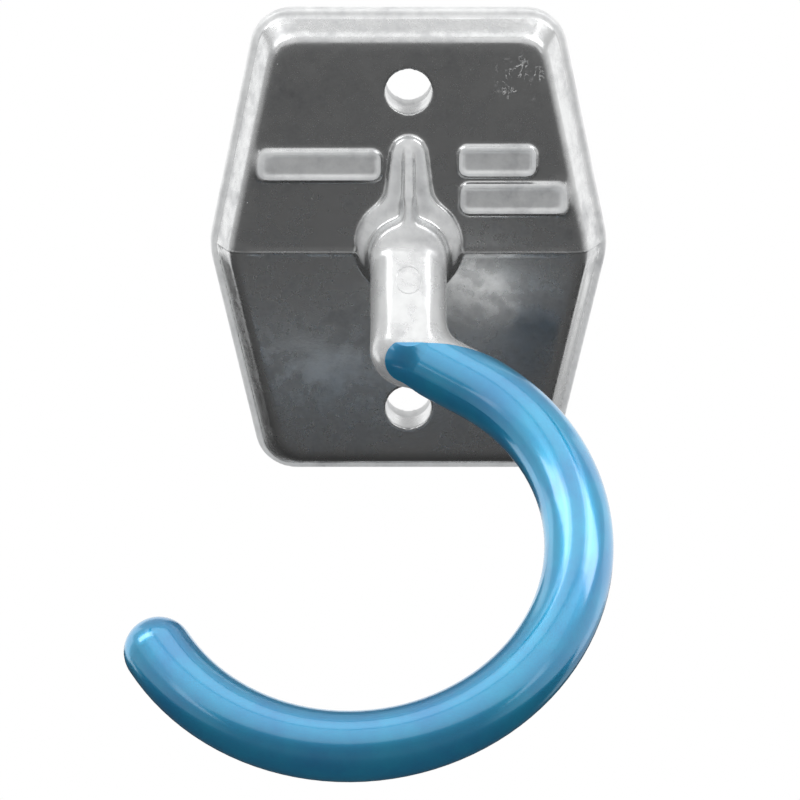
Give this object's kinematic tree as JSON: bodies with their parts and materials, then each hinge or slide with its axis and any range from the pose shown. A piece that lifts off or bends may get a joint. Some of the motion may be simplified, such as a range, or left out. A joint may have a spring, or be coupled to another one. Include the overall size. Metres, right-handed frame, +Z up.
{
  "type": "garage utility hook",
  "caption": "Cast wall hook: long hexagonal screw plate, sloping arm and a round C-shaped hook with a blue dip coating, for hanging tools or a bicycle.",
  "frame": {"origin": "middle of the plate's back on the wall, level with the parting ridge and midway between the screw holes", "axes": "+Y into the wall, +Z up, +X to the right as seen from the room; the hook stands out along -Y and down, and opens to the left"},
  "size_m": [0.0835, 0.0951, 0.1062],
  "materials": {
    "casting": "bare die casting, semi-gloss with tool marks",
    "coating": "glossy clear blue"
  },
  "bodies": {
    "root": {"hook_casting": "casting", "hook_coating": "coating"}
  },
  "joints": []
}
